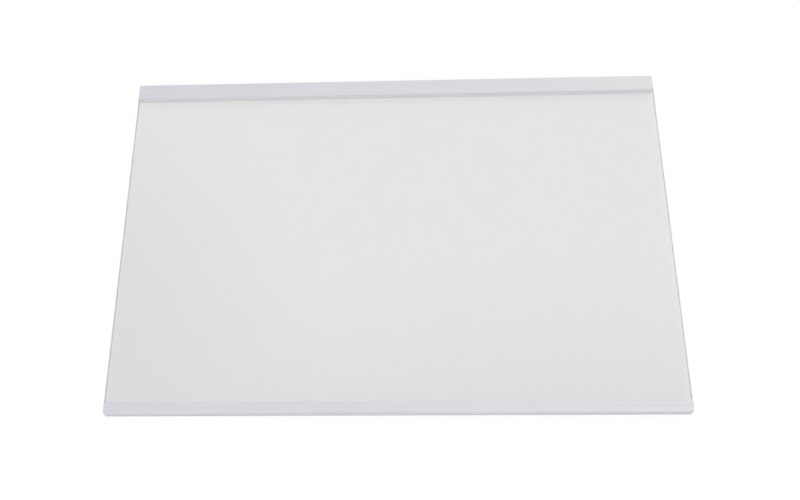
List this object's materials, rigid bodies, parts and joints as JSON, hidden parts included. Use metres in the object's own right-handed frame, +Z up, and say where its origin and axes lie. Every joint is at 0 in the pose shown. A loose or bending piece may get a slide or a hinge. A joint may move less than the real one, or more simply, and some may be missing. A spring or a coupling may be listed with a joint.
{
  "type": "fridge glass shelf",
  "caption": "Flat toughened-glass refrigerator shelf with a slim white front trim and a raised white rear trim that acts as a stop for food.",
  "frame": {"origin": "middle of the shelf on plan, at the level of the trims' undersides", "axes": "+X along the trims to the right, +Y from the front trim to the rear trim, +Z up"},
  "size_m": [0.475, 0.313, 0.0125],
  "materials": {
    "toughened_glass": "clear float glass, polished faces, ground edges",
    "white_trim_plastic": "satin white, drawn along its length"
  },
  "bodies": {
    "root": {"glass_plate": "toughened_glass", "front_trim": "white_trim_plastic", "rear_trim": "white_trim_plastic"}
  },
  "joints": []
}
